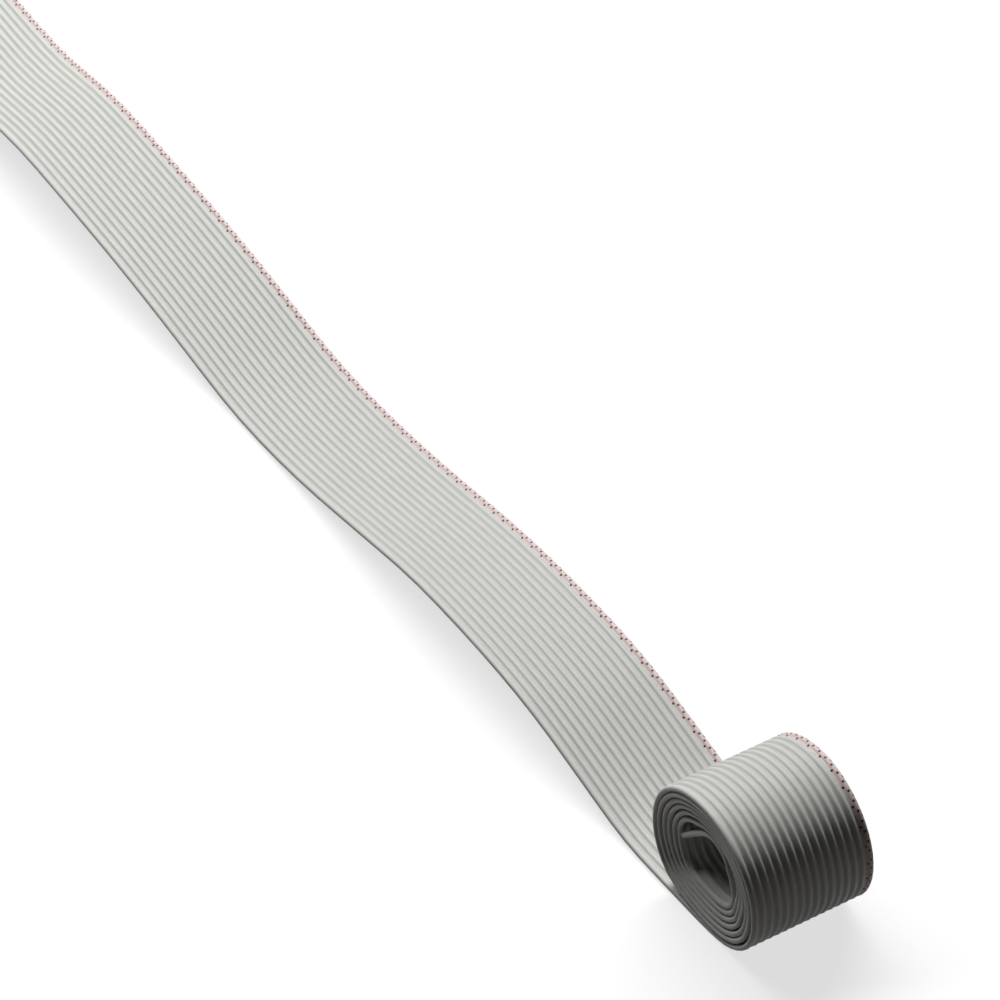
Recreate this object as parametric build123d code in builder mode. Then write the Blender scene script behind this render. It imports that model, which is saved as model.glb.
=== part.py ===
from build123d import *
import math
import os

os.makedirs("parts", exist_ok=True)

# Flat ribbon cable, millimetres, +Z up.
# X runs along the cable towards the roll, Y across it, and the floor is Z = 0.
# The origin is on the floor under the middle of the whole cable.

# The cable's own section
ways = 16
pitch = 1.27
thickness = 0.9
web = 0.3
strand_bundle = 0.38

# The roll: its outer turn, how each turn steps in, and its free inner end
outer_radius = 12.0
turn_gap = 0.08
turns = 6
flat_spot = 2.75
flat_loss = 0.25
tail_lift_off = 60.0
tail_turn = 72.0

# The run: corner points of its middle line from the cut end to where it lies flat under the roll.
# Each is a share of the way along, and a height above where the cable rests on the floor.
overall_length = 299.4
corners = [
    (0.0, 8.95),
    (0.323, 8.95),
    (0.509, -1.8),
    (0.775, 8.4),
    (0.929, 0.0),
    (1.0, 0.0),
]
bend_share = 0.42
metal_depth = 8.0

half = thickness / 2
turn_step = thickness + turn_gap
last_radius = outer_radius - turns * turn_step
tail_radius = 0.69 * last_radius
tail_length = 1.1 * last_radius
cut_x = -overall_length / 2
roll_x = overall_length / 2 - half - outer_radius
route = [(cut_x + share * (roll_x - cut_x), half + lift) for share, lift in corners]


def spot(x, z):
    return Vector(x, 0, z)


def ahead(x, z, heading, length):
    a = math.radians(heading)
    return x + length * math.cos(a), z + length * math.sin(a), heading


def bend(x, z, heading, radius, degrees):
    # The point reached after curling by degrees to the left, or to the right when they are negative
    side = math.copysign(90, degrees)
    cx, cz, _ = ahead(x, z, heading + side, radius)
    end = ahead(cx, cz, heading + degrees - side, radius)
    mid = ahead(cx, cz, heading + degrees / 2 - side, radius)
    return (end[0], end[1], heading + degrees), spot(mid[0], mid[1])


def lay(state, steps):
    # Lays straights ("go", length) and curls ("curl", radius, degrees) end to end in the open line
    for step in steps:
        here = spot(state[0], state[1])
        if step[0] == "go":
            state = ahead(*state, step[1])
            Line(here, spot(state[0], state[1]))
        else:
            state, middle = bend(*state, step[1], step[2])
            ThreePointArc(here, middle, spot(state[0], state[1]))
    return state


def run_steps(points):
    # Every corner of the run becomes an arc that takes up the same share of its shorter side
    sides = [math.dist(a, b) for a, b in zip(points, points[1:])]
    aims = [math.degrees(math.atan2(b[1] - a[1], b[0] - a[0])) for a, b in zip(points, points[1:])]
    steps = []
    used = 0.0
    for i in range(1, len(points) - 1):
        reach = bend_share * min(sides[i - 1], sides[i])
        turn = aims[i] - aims[i - 1]
        radius = reach / math.tan(math.radians(abs(turn) / 2))
        steps.append(("go", sides[i - 1] - used - reach))
        steps.append(("curl", radius, turn))
        used = reach
    steps.append(("go", sides[-1] - used))
    return steps


def half_width():
    # The cable is slit through the middle of the web on both sides
    return ways * pitch / 2


def ridges():
    # One ridge over every conductor, down to the web on both sides of it
    line = [(-half_width(), web / 2)]
    for i in range(ways):
        line.append(((i + 0.5) * pitch - half_width(), half))
        line.append(((i + 1) * pitch - half_width(), web / 2))
    return line


def under_ridges():
    return [(y, -h) for y, h in reversed(ridges())]


def covered_face():
    return [(-half_width(), half), (half_width(), half)]


def section_plane(state):
    a = math.radians(state[2])
    return Plane(origin=(state[0], 0, state[1]), x_dir=(0, 1, 0), z_dir=(math.cos(a), 0, math.sin(a)))


def conductor_places():
    return [((i - (ways - 1) / 2) * pitch, 0) for i in range(ways)]


start = (route[0][0], route[0][1], 0.0)

# The outer turn of the roll
outer_steps = [
    ("curl", outer_radius, 180),
    ("go", flat_spot),
    ("curl", outer_radius - turn_step / 2, 180),
    ("go", flat_spot / 2),
]

# The turns inside it, each one a step smaller, and the free end that crosses the hole
inner_steps = [("go", flat_spot / 2)]
for turn in range(1, turns):
    radius = outer_radius - turn * turn_step
    flat = flat_spot - turn * flat_loss
    inner_steps.append(("curl", radius, 180))
    inner_steps.append(("go", flat))
    inner_steps.append(("curl", radius - turn_step / 2, 180))
    inner_steps.append(("go", flat))
inner_steps.append(("curl", last_radius, 90 + tail_lift_off))
inner_steps.append(("curl", tail_radius, tail_turn))
inner_steps.append(("go", tail_length))

with BuildPart() as insulation:
    # The run shows both faces, so both have their ridges
    with BuildLine() as run_route:
        under_roll = lay(start, run_steps(route))
    with BuildSketch(section_plane(start)):
        Polygon(*ridges(), *under_ridges(), align=None)
    sweep(path=run_route.wires()[0])
    # The outer turn shows only its outside, and the next turn covers its inside
    with BuildLine() as outer_route:
        inside_roll = lay(under_roll, outer_steps)
    with BuildSketch(section_plane(under_roll)):
        Polygon(*covered_face(), *under_ridges(), align=None)
    sweep(path=outer_route.wires()[0])
    with BuildLine() as inner_route:
        finish = lay(inside_roll, inner_steps)
    with BuildSketch(section_plane(inside_roll)):
        Rectangle(2 * half_width(), thickness)
    sweep(path=inner_route.wires()[0])
    with BuildSketch(section_plane(start)):
        with Locations(*conductor_places()):
            RegularPolygon(strand_bundle / 2, 6)
    extrude(amount=metal_depth, mode=Mode.SUBTRACT)
    with BuildSketch(section_plane(finish)):
        with Locations(*conductor_places()):
            RegularPolygon(strand_bundle / 2, 6)
    extrude(amount=-tail_length, mode=Mode.SUBTRACT)
insulation.part.label = "insulation"
export_step(insulation.part, "parts/insulation.step")

for number, place in enumerate(conductor_places(), start=1):
    with BuildPart() as conductor:
        with BuildSketch(section_plane(start)):
            with Locations(place):
                RegularPolygon(strand_bundle / 2, 6)
        extrude(amount=metal_depth)
        with BuildSketch(section_plane(finish)):
            with Locations(place):
                RegularPolygon(strand_bundle / 2, 6)
        extrude(amount=-tail_length)
    conductor.part.label = f"conductor_{number:02d}"
    export_step(conductor.part, f"parts/conductor_{number:02d}.step")

steps = run_steps(route) + outer_steps + inner_steps
length = sum(s[1] if s[0] == "go" else math.radians(abs(s[2])) * s[1] for s in steps)
print("length along the cable", round(length, 1), "mm")
print("bend radii of the run", [round(s[1], 1) for s in run_steps(route) if s[0] == "curl"])
print("inner end", [round(v, 2) for v in finish])
print("insulation", round(insulation.part.volume, 1), "mm3", insulation.part.bounding_box())
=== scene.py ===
import bpy
import bmesh
import math
from mathutils import Matrix, Vector


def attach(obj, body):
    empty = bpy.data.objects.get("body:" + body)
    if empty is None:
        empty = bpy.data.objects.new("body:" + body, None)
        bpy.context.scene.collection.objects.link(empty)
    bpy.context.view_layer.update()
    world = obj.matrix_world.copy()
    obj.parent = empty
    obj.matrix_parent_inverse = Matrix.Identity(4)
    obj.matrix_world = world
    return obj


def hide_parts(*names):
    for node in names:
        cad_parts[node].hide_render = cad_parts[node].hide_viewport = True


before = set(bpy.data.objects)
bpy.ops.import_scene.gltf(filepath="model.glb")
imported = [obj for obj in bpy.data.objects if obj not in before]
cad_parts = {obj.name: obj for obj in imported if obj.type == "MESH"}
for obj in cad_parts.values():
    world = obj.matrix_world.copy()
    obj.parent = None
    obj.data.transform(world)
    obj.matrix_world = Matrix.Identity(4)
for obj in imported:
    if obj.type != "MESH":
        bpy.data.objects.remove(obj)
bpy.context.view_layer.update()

MM = 0.001

# The cable, and the bores in its cut faces, metres
WAYS = 16
PITCH = 1.27 * MM
BORE_RADIUS = 0.2 * MM
BORE_DEPTH = 2.5 * MM
BORE_SIDES = 12

# One strand of a conductor, metres: its thickness, how far apart two lie, and its length
STRAND = 0.127 * MM
STRAND_SPACING = STRAND * 1.02
STRAND_LENGTH = 2.2 * MM
STRAND_SIDES = 12
# How much its cut end is rounded, and how far the rim stands out of the cut face
STRAND_ROUNDING = 0.018 * MM
STRAND_PROUD = 0.02 * MM

# Edges bent by more than this stay sharp, degrees
COVER_SHARP = 50
STRAND_SHARP = 40

# One side of a ridge's outline, from the web up: across, and above the cable's middle, millimetres
RIDGE_SIDE = [(-0.46, 0.15), (-0.36, 0.255), (-0.2, 0.4)]
CREST = [(0.0, 0.45)]
# The outer side of an edge ridge is fuller and runs a little further out
EDGE_SIDE = [(-0.56, 0.07), (-0.53, 0.18), (-0.45, 0.3), (-0.33, 0.385), (-0.17, 0.435)]

# Corner points of the run's middle line from the cut end to the roll: x, y and height in millimetres,
# and how far the marked edge is tilted up there, in degrees
RUN = [
    (-149.7, 0.2, 9.43, 4.9), (-128, -0.07, 8.36, 5.1), (-108, -0.33, 7.26, 5.3), (-88, -0.6, 10.46, 5.3),
    (-68, -0.66, 9.45, 5.3), (-48, -0.51, 7.65, 5.1), (-28, -0.33, 4.73, 5.0), (-8, -0.22, 1.13, 4.2),
    (12, -0.14, 1.39, 2.5), (32, -0.09, 3.82, -0.2), (52, -0.07, 6.94, -1.4), (72, -0.13, 7.57, -0.1),
    (88, -0.22, 6.82, 1.5), (102, -0.3, 3.7, 1.7), (114, -0.35, 0.66, 1.2), (125, -0.35, 0.65, 0.5),
]

# The roll is laid out in steps of 24 degrees round this axis: x, y and height, millimetres
AXIS = (137.2, 0.0, 12.88)
STEPS = 15
TURNS = 6
EXTRA_STEPS = 4
# How far the outer turn's middle line stands from the axis at each step, from straight down
OUTER = [12.3, 12.3, 12.3, 12.05, 11.9, 11.75, 11.5, 11.25, 11.25, 11.75, 12.65, 13.75, 14.9, 15.1, 12.2]
# How much closer to the axis each turn lies than the one outside it, millimetres
STEP_IN = 0.965
# Where a turn stands off further: the turn, with the outer one as 0, the middle of the gap in degrees,
# the degrees over which it closes to either side, and the gap in millimetres
SLACK = [
    (1, -28, 34, 0.3), (3, -22, 30, 0.5), (5, 122, 34, 0.55), (2, 205, 40, 0.35), (4, 205, 40, 0.25),
    (1, 215, 45, 0.4), (5, 210, 40, 0.2), (4, 150, 40, 0.15), (3, 230, 45, 0.08), (1, -90, 30, 0.03),
]
# The free inner end: x, y and height, millimetres
TAIL = [
    (141.3, -0.15, 16.6), (139.2, -0.15, 18.2), (136.4, -0.15, 18.2), (133.6, -0.15, 16.2),
    (131.2, -0.15, 14.1), (129.3, -0.15, 12.4),
]
# Once its heading has turned this far, in radians, the cable is in the roll and keeps one tilt
ROLL_STARTS = 0.5
# From this many turns on, the cable shifts across by so many millimetres a turn
SLIP_STARTS = 1.3
COIL_SLIP = 0.2

# The insulation's map runs along and across the cable in this unit, metres
MAP_UNIT = 10 * MM

# The marked edge, millimetres: how far apart its dots are along the cable, how far they swing
# to either side, where a dot's ink starts to fade and ends, and where the pale ground starts
DOT_SPACING = 0.7417
DOT_SWING = 0.46
DOT_FADES = 0.16
DOT_ENDS = 0.24
GROUND_STARTS = -0.6

# Colours
GREY_DARK = (0.575, 0.58, 0.545, 1)
GREY_LIGHT = (0.635, 0.64, 0.61, 1)
PALE_PINK = (0.73, 0.62, 0.6, 1)
DARK_RED_INK = (0.13, 0.012, 0.016, 1)
TIN_GREY = (0.72, 0.7, 0.66, 1)
TIN_WARM = (0.82, 0.74, 0.66, 1)
FLOOR_SEEN = (0.35, 0.35, 0.35, 1)
FLOOR_BOUNCE = (0.1, 0.094, 0.088, 1)


def deselect():
    for o in bpy.context.selected_objects:
        o.select_set(False)


def link(o):
    bpy.context.scene.collection.objects.link(o)
    return o


def between(table, x):
    # Reads a value at x from rows of (x, value), in straight lines from row to row
    if x <= table[0][0]:
        return table[0][1]
    for (a, value_a), (b, value_b) in zip(table, table[1:]):
        if x <= b:
            return value_a + (value_b - value_a) * (x - a) / (b - a)
    return table[-1][1]


def way_place(way):
    # Where a conductor lies across the cable, from the middle; way 0 is at the plain edge
    return (way - (WAYS - 1) / 2) * PITCH


def standing_off(turn, angle):
    gap = 0.0
    for slack_turn, centre, reach, size in SLACK:
        off = (angle - centre + 180) % 360 - 180
        if slack_turn == turn and abs(off) < reach:
            gap += size * (0.5 + 0.5 * math.cos(math.pi * off / reach))
    return gap


def roll_points():
    # Each turn lies inside the one before it by the cable's thickness and its slack
    radii = list(OUTER)
    while len(radii) < TURNS * STEPS + EXTRA_STEPS:
        turn, step = divmod(len(radii), STEPS)
        angle = -90 + step * 360 / STEPS
        radii.append(radii[-STEPS] - STEP_IN - standing_off(turn, angle))
    # A spline of this order runs a little inside its points
    stretch = 1 / (0.75 + 0.25 * math.cos(2 * math.pi / STEPS))
    points = []
    for i, radius in enumerate(radii):
        angle = math.radians(-90 + i * 360 / STEPS)
        x = AXIS[0] + radius * stretch * math.cos(angle)
        z = AXIS[2] + radius * stretch * math.sin(angle)
        points.append((x, AXIS[1], z))
    return points


def cable_route():
    # The cable's middle line, as points along one smooth spline
    points = [(x, y, z) for x, y, z, tilt in RUN] + roll_points() + TAIL
    curve = bpy.data.curves.new("route", "CURVE")
    curve.dimensions = "3D"
    spline = curve.splines.new("NURBS")
    spline.points.add(len(points) - 1)
    for p, (x, y, z) in zip(spline.points, points):
        p.co = (x * MM, y * MM, z * MM, 1)
    spline.order_u = 3
    spline.use_endpoint_u = True
    spline.resolution_u = 3
    route = link(bpy.data.objects.new("route", curve))
    bpy.context.view_layer.update()
    mesh = bpy.data.meshes.new_from_object(route)
    line = [v.co.copy() for v in mesh.vertices]
    bpy.data.objects.remove(route)
    bpy.data.curves.remove(curve)
    bpy.data.meshes.remove(mesh)
    return line


def lengths_along(line):
    travelled = [0.0]
    for a, b in zip(line, line[1:]):
        travelled.append(travelled[-1] + (b - a).length)
    return travelled


def rings_along(line):
    # How each cross-section lies: its centre, and which ways are across, up and ahead
    tilts = [(x, tilt) for x, y, z, tilt in RUN]
    rings = []
    turned = 0.0
    last_heading = None
    for i, point in enumerate(line):
        ahead = (line[min(i + 1, len(line) - 1)] - line[max(i - 1, 0)]).normalized()
        heading = math.atan2(ahead.z, ahead.x)
        if last_heading is not None:
            turned += (heading - last_heading + math.pi) % (2 * math.pi) - math.pi
        last_heading = heading
        in_roll = turned >= ROLL_STARTS
        tilt = math.radians(tilts[-1][1] if in_roll else between(tilts, point.x / MM))
        slip = max(0.0, turned / (2 * math.pi) - SLIP_STARTS) * COIL_SLIP * MM
        across = Vector((0, math.cos(tilt), math.sin(tilt)))
        across = (across - ahead * across.dot(ahead)).normalized()
        rings.append((point + Vector((0, slip, 0)), across, ahead.cross(across), ahead))
    return rings


def mirrored(points):
    return [(-y, h) for y, h in reversed(points)]


def section():
    # The cable's outline, across and height: over the top from the plain edge, then back underneath
    ridge = RIDGE_SIDE + CREST + mirrored(RIDGE_SIDE)
    edge_ridge = EDGE_SIDE + CREST + mirrored(RIDGE_SIDE)
    plain_edge = [(way_place(0) + y * MM, h * MM) for y, h in edge_ridge]
    upper = list(plain_edge)
    for way in range(1, WAYS - 1):
        upper += [(way_place(way) + y * MM, h * MM) for y, h in ridge]
    upper += mirrored(plain_edge)
    lower = [(y, -h) for y, h in reversed(upper)]
    return upper + lower


def skin(rings, travelled):
    # The insulation's outside, as quads from ring to ring, still open at both cut ends
    outline = section()
    n = len(outline)
    verts = []
    for centre, across, up, ahead in rings:
        verts += [centre + across * y + up * h for y, h in outline]
    faces = []
    for i in range(len(rings) - 1):
        for j in range(n):
            k = (j + 1) % n
            faces.append((i * n + j, (i + 1) * n + j, (i + 1) * n + k, i * n + k))
    mesh = bpy.data.meshes.new("insulation_cover")
    mesh.from_pydata(verts, [], faces)
    mesh.update()
    along = mesh.uv_layers.new(name="along")
    for face in mesh.polygons:
        for loop, v in zip(face.loop_indices, face.vertices):
            along.data[loop].uv = (travelled[v // n] / MAP_UNIT, outline[v % n][0] / MAP_UNIT)
    return mesh


def close_end(bm, rim, ring, sense):
    # Fills a cut face, and sinks a blind bore into it for each conductor
    centre, across, up, ahead = ring
    edges = [bm.edges.get((a, b)) for a, b in zip(rim, rim[1:] + rim[:1])]
    for way in range(WAYS):
        mouth = []
        floor = []
        for side in range(BORE_SIDES):
            angle = 2 * math.pi * side / BORE_SIDES
            y = way_place(way) + BORE_RADIUS * math.cos(angle)
            spot = centre + across * y + up * (BORE_RADIUS * math.sin(angle))
            mouth.append(bm.verts.new(spot))
            floor.append(bm.verts.new(spot - ahead * sense * BORE_DEPTH))
        for a in range(BORE_SIDES):
            b = (a + 1) % BORE_SIDES
            edges.append(bm.edges.new((mouth[a], mouth[b])))
            bm.faces.new((mouth[a], mouth[b], floor[b], floor[a]))
        bm.faces.new(floor)
    bmesh.ops.triangle_fill(bm, use_beauty=True, edges=edges)


def insulation_cover(rings, travelled):
    mesh = skin(rings, travelled)
    n = len(section())
    bm = bmesh.new()
    bm.from_mesh(mesh)
    bm.verts.ensure_lookup_table()
    first_rim = [bm.verts[j] for j in range(n)]
    last_rim = [bm.verts[(len(rings) - 1) * n + j] for j in range(n)]
    close_end(bm, first_rim, rings[0], -1)
    close_end(bm, last_rim, rings[-1], 1)
    bmesh.ops.recalc_face_normals(bm, faces=bm.faces)
    for face in bm.faces:
        face.smooth = True
    bm.to_mesh(mesh)
    bm.free()
    cover = link(bpy.data.objects.new("insulation_cover", mesh))
    deselect()
    cover.select_set(True)
    bpy.context.view_layer.objects.active = cover
    bpy.ops.object.shade_smooth_by_angle(angle=math.radians(COVER_SHARP))
    return cover


def strand_rod():
    # One strand below the origin, its top drawn in and raised to round the cut end
    deselect()
    bpy.ops.mesh.primitive_cylinder_add(
        vertices=STRAND_SIDES, radius=STRAND / 2, depth=STRAND_LENGTH, location=(0, 0, -STRAND_LENGTH / 2)
    )
    rod = bpy.context.object
    bpy.ops.object.transform_apply(location=True, rotation=True, scale=True)
    bpy.ops.object.mode_set(mode="EDIT")
    bpy.ops.mesh.select_all(action="DESELECT")
    edit = bmesh.from_edit_mesh(rod.data)
    for face in edit.faces:
        face.select = face.normal.z > 0.9
    edit.select_flush_mode()
    bmesh.update_edit_mesh(rod.data)
    bpy.ops.mesh.inset(thickness=STRAND_ROUNDING)
    bpy.ops.transform.translate(value=(0, 0, STRAND_ROUNDING))
    bpy.ops.object.mode_set(mode="OBJECT")
    return rod


def strand_bundle(name, rod, places):
    # Seven strands at each cut end, six round one
    ring = [(math.cos(math.pi * c / 3), math.sin(math.pi * c / 3)) for c in range(6)]
    strands = []
    for spot, across, up, out in places:
        # Swapped where needed, so that no strand is turned inside out
        sides = (across, up) if across.cross(up).dot(out) > 0 else (up, across)
        turn = Matrix((*sides, out)).transposed().to_4x4()
        for x, y in ring + [(0, 0)]:
            shift = Matrix.Translation((x * STRAND_SPACING, y * STRAND_SPACING, STRAND_PROUD))
            mesh = rod.data.copy()
            mesh.transform(Matrix.Translation(spot) @ turn @ shift)
            strands.append(link(bpy.data.objects.new(name, mesh)))
    deselect()
    for strand in strands:
        strand.select_set(True)
    bpy.context.view_layer.objects.active = strands[0]
    bpy.ops.object.join()
    bundle = bpy.context.object
    bundle.name = name
    bpy.ops.object.shade_smooth_by_angle(angle=math.radians(STRAND_SHARP))
    return bundle


def node(tree, kind, x, y, **values):
    made = tree.nodes.new(kind)
    made.location = (x, y)
    for key, value in values.items():
        setattr(made, key, value)
    return made


def maths(tree, operation, x, y, a, b=None):
    made = node(tree, "ShaderNodeMath", x, y, operation=operation)
    for socket, value in zip(made.inputs, (a, b)):
        if isinstance(value, (int, float)):
            socket.default_value = value
        elif value is not None:
            tree.links.new(value, socket)
    return made.outputs[0]


def noise(tree, x, y, vector, scale, detail):
    made = node(tree, "ShaderNodeTexNoise", x, y)
    made.inputs["Scale"].default_value = scale
    made.inputs["Detail"].default_value = detail
    tree.links.new(vector, made.inputs["Vector"])
    return made.outputs[0]


def spread_to(tree, x, y, value, low, high):
    # Turns a value from 0 to 1 into one from low to high
    made = node(tree, "ShaderNodeMapRange", x, y)
    made.inputs["To Min"].default_value = low
    made.inputs["To Max"].default_value = high
    tree.links.new(value, made.inputs["Value"])
    return made.outputs["Result"]


def blend_colours(tree, x, y, factor, a, b):
    made = node(tree, "ShaderNodeMix", x, y, data_type="RGBA")
    tree.links.new(factor, made.inputs["Factor"])
    for socket, colour in ((made.inputs["A"], a), (made.inputs["B"], b)):
        if isinstance(colour, tuple):
            socket.default_value = colour
        else:
            tree.links.new(colour, socket)
    return made.outputs["Result"]


def new_material(name):
    m = bpy.data.materials.new(name)
    m.use_nodes = True
    m.node_tree.nodes.clear()
    return m, m.node_tree


def edge_dots(t, along, off):
    # Small dots that swing from side to side over the marked ridge
    cycle = maths(t, "DIVIDE", -800, 300, along, DOT_SPACING)
    nearest = maths(t, "ROUND", -600, 300, cycle)
    past = maths(t, "SUBTRACT", -500, 360, cycle, nearest)
    gap = maths(t, "MULTIPLY", -400, 360, past, DOT_SPACING)
    phase = maths(t, "MULTIPLY", -500, 200, nearest, math.pi / 2)
    swing = maths(t, "SINE", -400, 200, phase)
    side = maths(t, "MULTIPLY", -200, 200, swing, DOT_SWING)
    miss = maths(t, "SUBTRACT", 0, 200, off, side)
    miss_squared = maths(t, "MULTIPLY", 100, 300, miss, miss)
    gap_squared = maths(t, "MULTIPLY", 100, 200, gap, gap)
    reach = maths(t, "SQRT", 300, 250, maths(t, "ADD", 200, 250, miss_squared, gap_squared))
    dot = node(t, "ShaderNodeMapRange", 400, 250, interpolation_type="SMOOTHSTEP")
    t.links.new(reach, dot.inputs["Value"])
    dot.inputs["From Min"].default_value = DOT_FADES
    dot.inputs["From Max"].default_value = DOT_ENDS
    dot.inputs["To Min"].default_value = 1.0
    dot.inputs["To Max"].default_value = 0.0
    return dot.outputs["Result"]


def painted_web_shade(t, across, body):
    # Painted shade: the base colour is darkened in the thin web between two ridges, where shade falls, and
    # kept full on the ridges
    ways_across = maths(t, "DIVIDE", -1000, -100, across, PITCH / MM)
    way = maths(t, "FRACT", -800, -100, maths(t, "ADD", -900, -100, ways_across, WAYS / 2))
    rise = maths(t, "SINE", -600, -100, maths(t, "MULTIPLY", -700, -100, way, math.pi))
    web_shade = node(t, "ShaderNodeMapRange", -400, -100)
    web_shade.inputs["From Min"].default_value = 0.25
    web_shade.inputs["From Max"].default_value = 0.8
    web_shade.inputs["To Min"].default_value = 0.86
    t.links.new(rise, web_shade.inputs["Value"])
    shade = node(t, "ShaderNodeMix", -200, -150, data_type="RGBA", blend_type="MULTIPLY")
    shade.inputs["Factor"].default_value = 1.0
    t.links.new(body, shade.inputs["A"])
    t.links.new(web_shade.outputs["Result"], shade.inputs["B"])
    return shade.outputs["Result"]


def pvc():
    m, t = new_material("grey_pvc_with_marked_edge")
    out = node(t, "ShaderNodeOutputMaterial", 1400, 0)
    shader = node(t, "ShaderNodeBsdfPrincipled", 1100, 0)
    t.links.new(shader.outputs[0], out.inputs[0])
    shader.inputs["Specular IOR Level"].default_value = 0.3
    shader.inputs["Subsurface Weight"].default_value = 0.08
    shader.inputs["Subsurface Radius"].default_value = (1.0, 0.9, 0.8)
    shader.inputs["Subsurface Scale"].default_value = 0.25 * MM
    # Millimetres along the cable and across it, read from the piece's own map
    uv = node(t, "ShaderNodeUVMap", -1400, 0, uv_map="along")
    split = node(t, "ShaderNodeSeparateXYZ", -1200, 0)
    t.links.new(uv.outputs[0], split.inputs[0])
    along = maths(t, "MULTIPLY", -1000, 200, split.outputs[0], MAP_UNIT / MM)
    across = maths(t, "MULTIPLY", -1000, 0, split.outputs[1], MAP_UNIT / MM)
    # Slight clouding of the plastic, drawn out along the cable
    stretch = node(t, "ShaderNodeMapping", -1000, -300)
    stretch.inputs["Scale"].default_value = (0.6, 6.0, 1.0)
    t.links.new(uv.outputs[0], stretch.inputs[0])
    cloud = noise(t, -800, -300, stretch.outputs[0], scale=2.0, detail=4.0)
    body = blend_colours(t, -500, -250, cloud, GREY_DARK, GREY_LIGHT)
    # Painted shade darkens the webs between the ridges
    grey = painted_web_shade(t, across, body)
    # The marked edge: a pale ground over the last ridge, with dots of ink on it
    off = maths(t, "SUBTRACT", -800, 0, across, way_place(WAYS - 1) / MM)
    band = maths(t, "GREATER_THAN", 200, 0, off, GROUND_STARTS)
    ground = blend_colours(t, 500, -100, band, grey, PALE_PINK)
    inked = maths(t, "MULTIPLY", 600, 150, edge_dots(t, along, off), band)
    t.links.new(blend_colours(t, 800, 0, inked, ground, DARK_RED_INK), shader.inputs["Base Color"])
    # Fine drawing lines and grain
    fine = node(t, "ShaderNodeMapping", -1000, -600)
    fine.inputs["Scale"].default_value = (1.0, 40.0, 1.0)
    t.links.new(uv.outputs[0], fine.inputs[0])
    bump = node(t, "ShaderNodeBump", 800, -400)
    bump.inputs["Strength"].default_value = 0.12
    bump.inputs["Distance"].default_value = 0.03 * MM
    drawn = noise(t, -800, -600, fine.outputs[0], scale=8.0, detail=3.0)
    t.links.new(drawn, bump.inputs["Height"])
    t.links.new(bump.outputs[0], shader.inputs["Normal"])
    t.links.new(spread_to(t, 500, -350, cloud, low=0.46, high=0.58), shader.inputs["Roughness"])
    return m


def tinned_copper():
    m, t = new_material("tinned_copper")
    out = node(t, "ShaderNodeOutputMaterial", 600, 0)
    shader = node(t, "ShaderNodeBsdfPrincipled", 300, 0)
    t.links.new(shader.outputs[0], out.inputs[0])
    shader.inputs["Metallic"].default_value = 1.0
    place = node(t, "ShaderNodeTexCoord", -900, 0)
    patches = noise(t, -600, 0, place.outputs["Object"], scale=9000.0, detail=3.0)
    t.links.new(blend_colours(t, -200, 100, patches, TIN_GREY, TIN_WARM), shader.inputs["Base Color"])
    t.links.new(spread_to(t, -200, -150, patches, low=0.25, high=0.45), shader.inputs["Roughness"])
    return m


def white_floor():
    # Looks white to the camera and keeps the shadow, but throws little light back up
    m, t = new_material("white_floor")
    out = node(t, "ShaderNodeOutputMaterial", 800, 0)
    seen = node(t, "ShaderNodeAddShader", 300, 100)
    paper = node(t, "ShaderNodeBsdfDiffuse", 0, 0)
    paper.inputs["Color"].default_value = FLOOR_SEEN
    glow = node(t, "ShaderNodeEmission", 0, 200)
    glow.inputs["Strength"].default_value = 0.71
    t.links.new(glow.outputs[0], seen.inputs[0])
    t.links.new(paper.outputs[0], seen.inputs[1])
    bounce = node(t, "ShaderNodeBsdfDiffuse", 0, -200)
    bounce.inputs["Color"].default_value = FLOOR_BOUNCE
    path = node(t, "ShaderNodeLightPath", -400, 0)
    reflected = path.outputs["Is Glossy Ray"]
    through = path.outputs["Is Transmission Ray"]
    either = maths(t, "MAXIMUM", -100, 400, reflected, through)
    looked = maths(t, "MAXIMUM", 100, 400, path.outputs["Is Camera Ray"], either)
    mix = node(t, "ShaderNodeMixShader", 550, 0)
    t.links.new(looked, mix.inputs[0])
    t.links.new(bounce.outputs[0], mix.inputs[1])
    t.links.new(seen.outputs[0], mix.inputs[2])
    t.links.new(mix.outputs[0], out.inputs[0])
    return m


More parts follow.
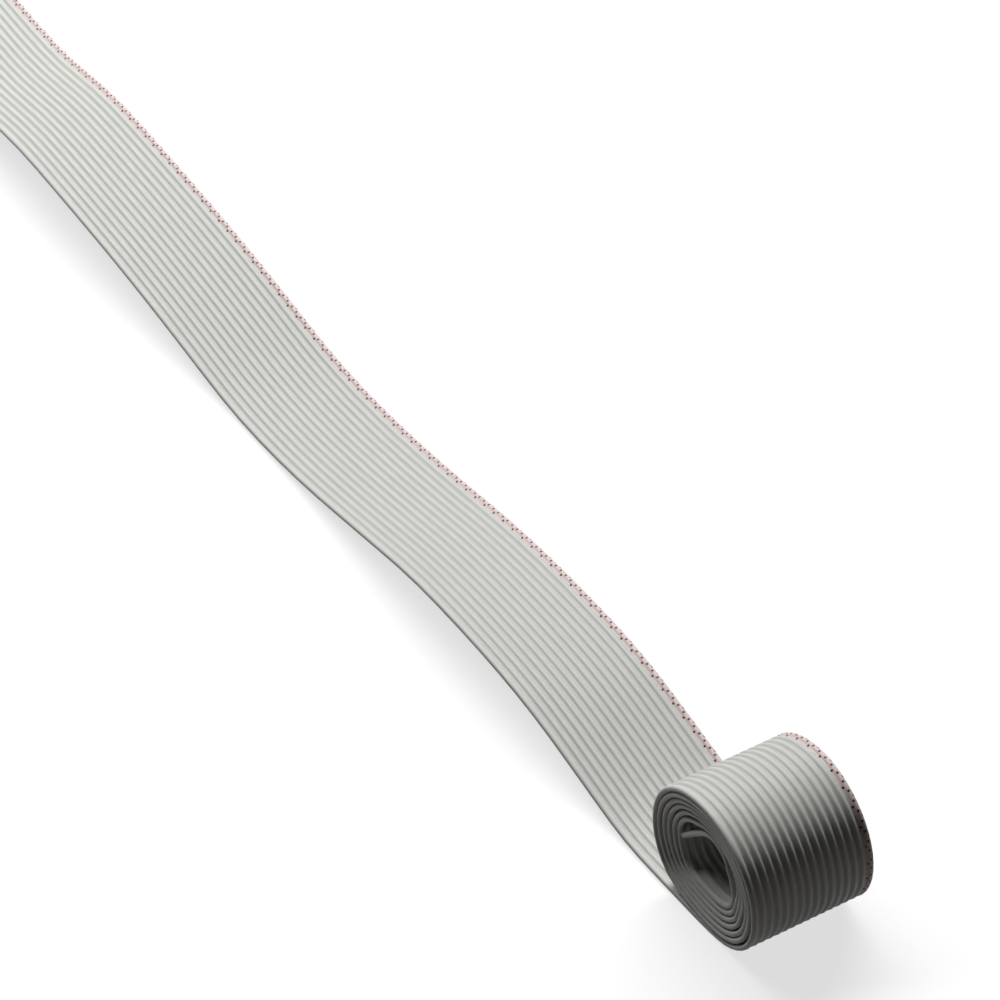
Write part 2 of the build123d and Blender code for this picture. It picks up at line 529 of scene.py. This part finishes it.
def surroundings():
    # A white background that gives hardly any light
    world = bpy.data.worlds.new("studio")
    bpy.context.scene.world = world
    world.use_nodes = True
    t = world.node_tree
    t.nodes.clear()
    out = node(t, "ShaderNodeOutputWorld", 600, 0)
    sky = node(t, "ShaderNodeBackground", 200, 0)
    path = node(t, "ShaderNodeLightPath", -400, 0)
    looked = maths(t, "MAXIMUM", -200, 0, path.outputs["Is Camera Ray"], path.outputs["Is Transmission Ray"])
    t.links.new(spread_to(t, 0, 0, looked, low=0.006, high=1.0), sky.inputs["Strength"])
    t.links.new(sky.outputs[0], out.inputs[0])


def lamp(name, where, aim, wide, high, power):
    data = bpy.data.lights.new(name, "AREA")
    data.shape = "ELLIPSE"
    data.size = wide
    data.size_y = high
    data.energy = power
    o = link(bpy.data.objects.new(name, data))
    o.location = where
    o.rotation_euler = (Vector(aim) - Vector(where)).to_track_quat("-Z", "Y").to_euler()


def camera():
    data = bpy.data.cameras.new("camera")
    data.sensor_width = 36
    data.lens = 170.72
    data.clip_start = 0.01
    o = link(bpy.data.objects.new("camera", data))
    o.location = (0.55516, -0.25323, 0.47361)
    o.rotation_euler = (math.radians(50.8756), math.radians(3.7391), math.radians(59.6724))
    bpy.context.scene.camera = o


camera()

# The cable's insulation
line = cable_route()
rings = rings_along(line)
travelled = lengths_along(line)
cover = insulation_cover(rings, travelled)
cover.data.materials.append(pvc())
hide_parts("insulation")
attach(cover, "root")

# Its conductors, seen at both cut ends
metal = tinned_copper()
rod = strand_rod()
for way in range(WAYS):
    places = []
    for ring, sense in ((rings[0], -1), (rings[-1], 1)):
        centre, across, up, ahead = ring
        places.append((centre + across * way_place(way), across, up, ahead * sense))
    name = "conductor_%02d" % (way + 1)
    bundle = strand_bundle("strands_%02d" % (way + 1), rod, places)
    bundle.data.materials.append(metal)
    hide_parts(name)
    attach(bundle, "root")
bpy.data.objects.remove(rod)

# The floor, the background and the lamps
deselect()
bpy.ops.mesh.primitive_plane_add(size=6, location=(0, 0, 0))
floor = bpy.context.object
floor.name = "floor"
floor.data.materials.append(white_floor())
surroundings()
lamp("overhead", where=(-0.57, 0.3, 1.0), aim=(-0.42, 0.26, 0), wide=1.9, high=0.4, power=25.5)
lamp("far_side", where=(0.52, 1.4, 0.1), aim=(0.13, 0, 0.01), wide=0.5, high=0.5, power=1.0)

bpy.context.scene.view_settings.view_transform = "Standard"
